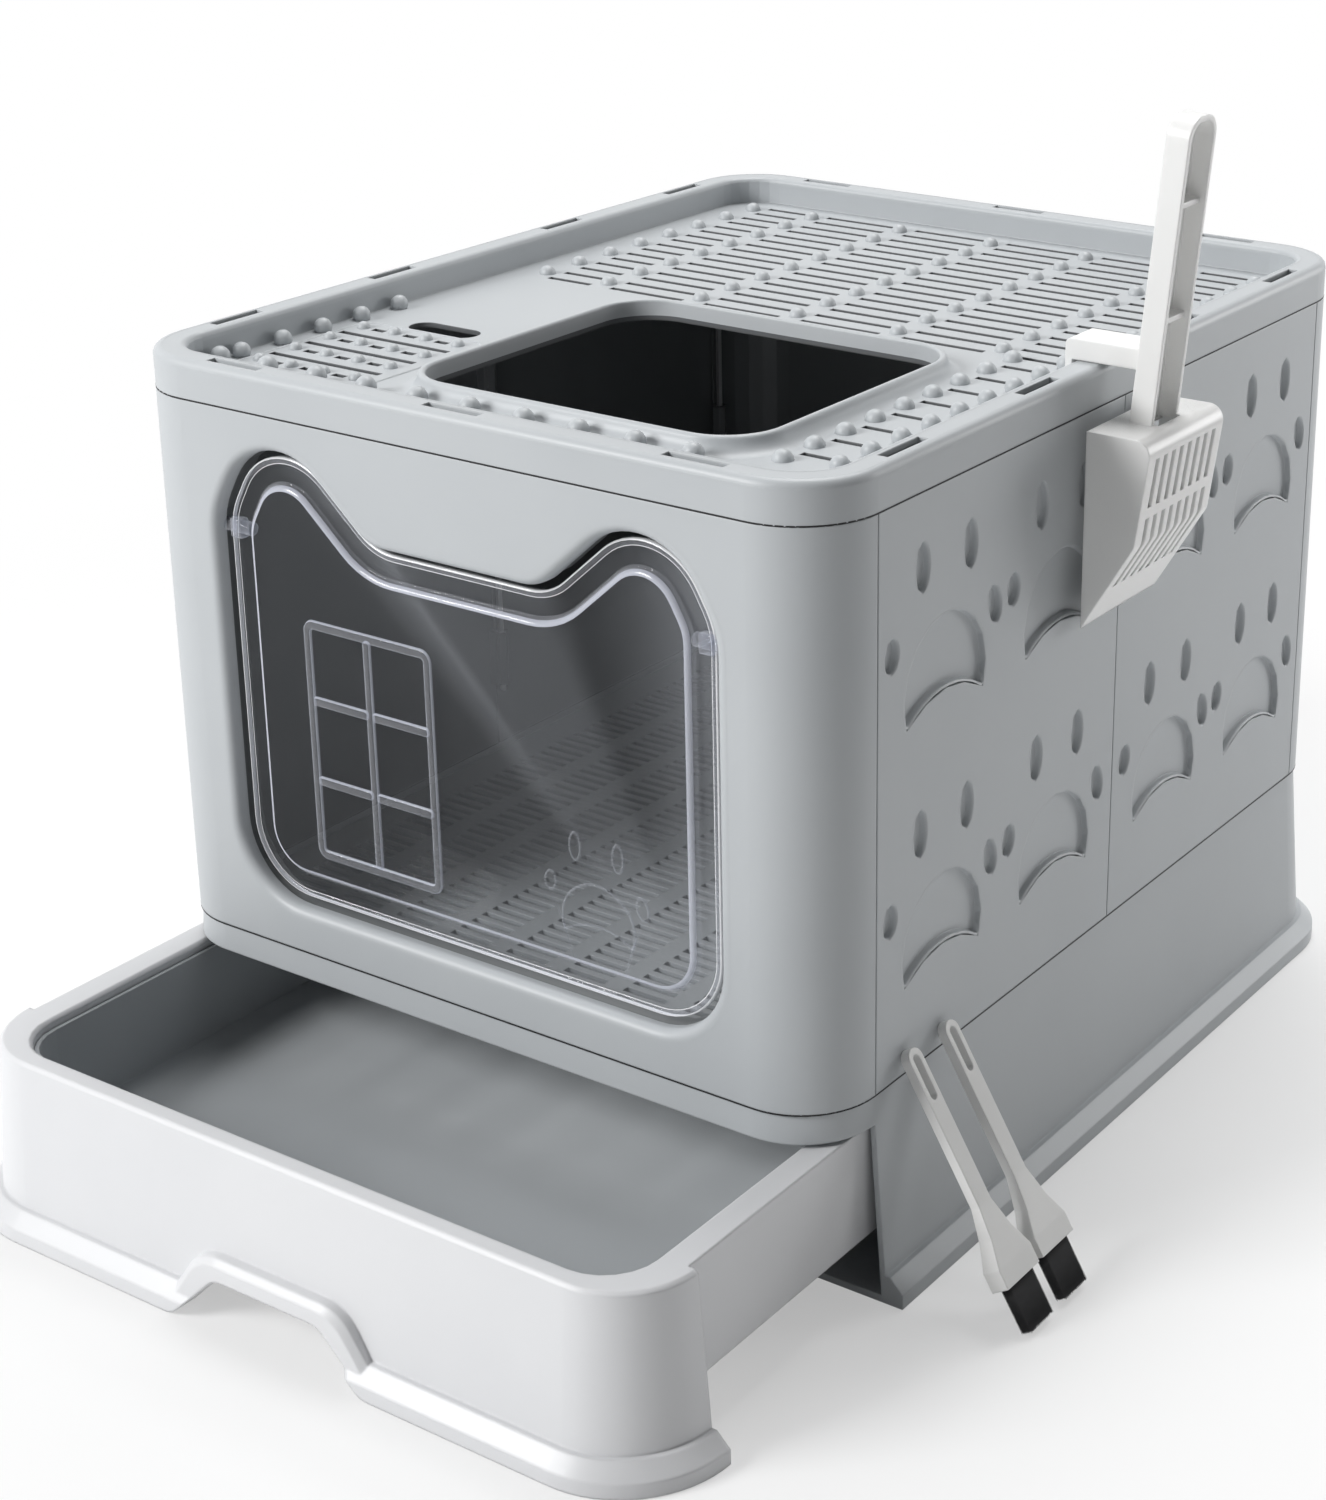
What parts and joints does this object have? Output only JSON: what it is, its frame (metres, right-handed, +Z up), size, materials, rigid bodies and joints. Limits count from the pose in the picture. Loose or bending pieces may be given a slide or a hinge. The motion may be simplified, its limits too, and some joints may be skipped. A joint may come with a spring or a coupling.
{
  "type": "top-entry cat litter box",
  "caption": "Top-entry cat litter box with folding paw-print walls, a slotted lid, a clear cat-ear flap door, a pull-out drawer, a hook-on scoop and cleaning brushes.",
  "frame": {"origin": "centre of the base's footprint, on the floor", "axes": "+Z up; the flap door and the drawer's front face -Y; +X to the right seen from the front"},
  "size_m": [0.468, 0.6312, 0.4897],
  "materials": {
    "body_grey": "satin",
    "drawer_white": "satin",
    "pan_grey": "satin",
    "clear_door": "clear",
    "scoop_white": "satin",
    "brush_white": "gloss",
    "bristle_black": "matte",
    "pin_steel": "brushed"
  },
  "bodies": {
    "housing": {"base": "body_grey", "sieve_floor": "body_grey", "front_panel": "body_grey", "rear_panel": "body_grey", "left_front_panel": "body_grey", "left_rear_panel": "body_grey", "right_front_panel": "body_grey", "right_rear_panel": "body_grey", "fold_pin_left_front": "pin_steel", "fold_pin_left_middle": "pin_steel", "fold_pin_left_rear": "pin_steel", "fold_pin_right_front": "pin_steel", "fold_pin_right_middle": "pin_steel", "fold_pin_right_rear": "pin_steel"},
    "drawer": {"drawer": "drawer_white", "litter_pan": "pan_grey"},
    "door": {"flap_door": "clear_door"},
    "lid": {"lid": "body_grey"},
    "scoop": {"scoop": "scoop_white"},
    "brush_1": {"brush_1_handle": "brush_white", "brush_1_bristles": "bristle_black"},
    "brush_2": {"brush_2_handle": "brush_white", "brush_2_bristles": "bristle_black"}
  },
  "joints": [
    {"name": "drawer_slide", "type": "slide", "parent": "housing", "child": "drawer", "axis": [0, -1, 0], "range_m": [-0.125, 0.2]},
    {"name": "door_swing", "type": "hinge", "parent": "housing", "child": "door", "pos_m": [0, -0.23, 0.301], "axis": [1, 0, 0], "range_deg": [-80, 80]},
    {"name": "lid_lift", "type": "slide", "parent": "housing", "child": "lid", "axis": [0, 0, 1], "range_m": [0, 0.08]},
    {"name": "scoop_lift", "type": "slide", "parent": "lid", "child": "scoop", "axis": [0, 0, 1], "range_m": [0, 0.06]},
    {"name": "brush_1_pick", "type": "slide", "parent": "housing", "child": "brush_1", "axis": [0.6, 0, 0.8], "range_m": [0, 0.1]},
    {"name": "brush_2_pick", "type": "slide", "parent": "housing", "child": "brush_2", "axis": [0.6, 0, 0.8], "range_m": [0, 0.1]}
  ]
}
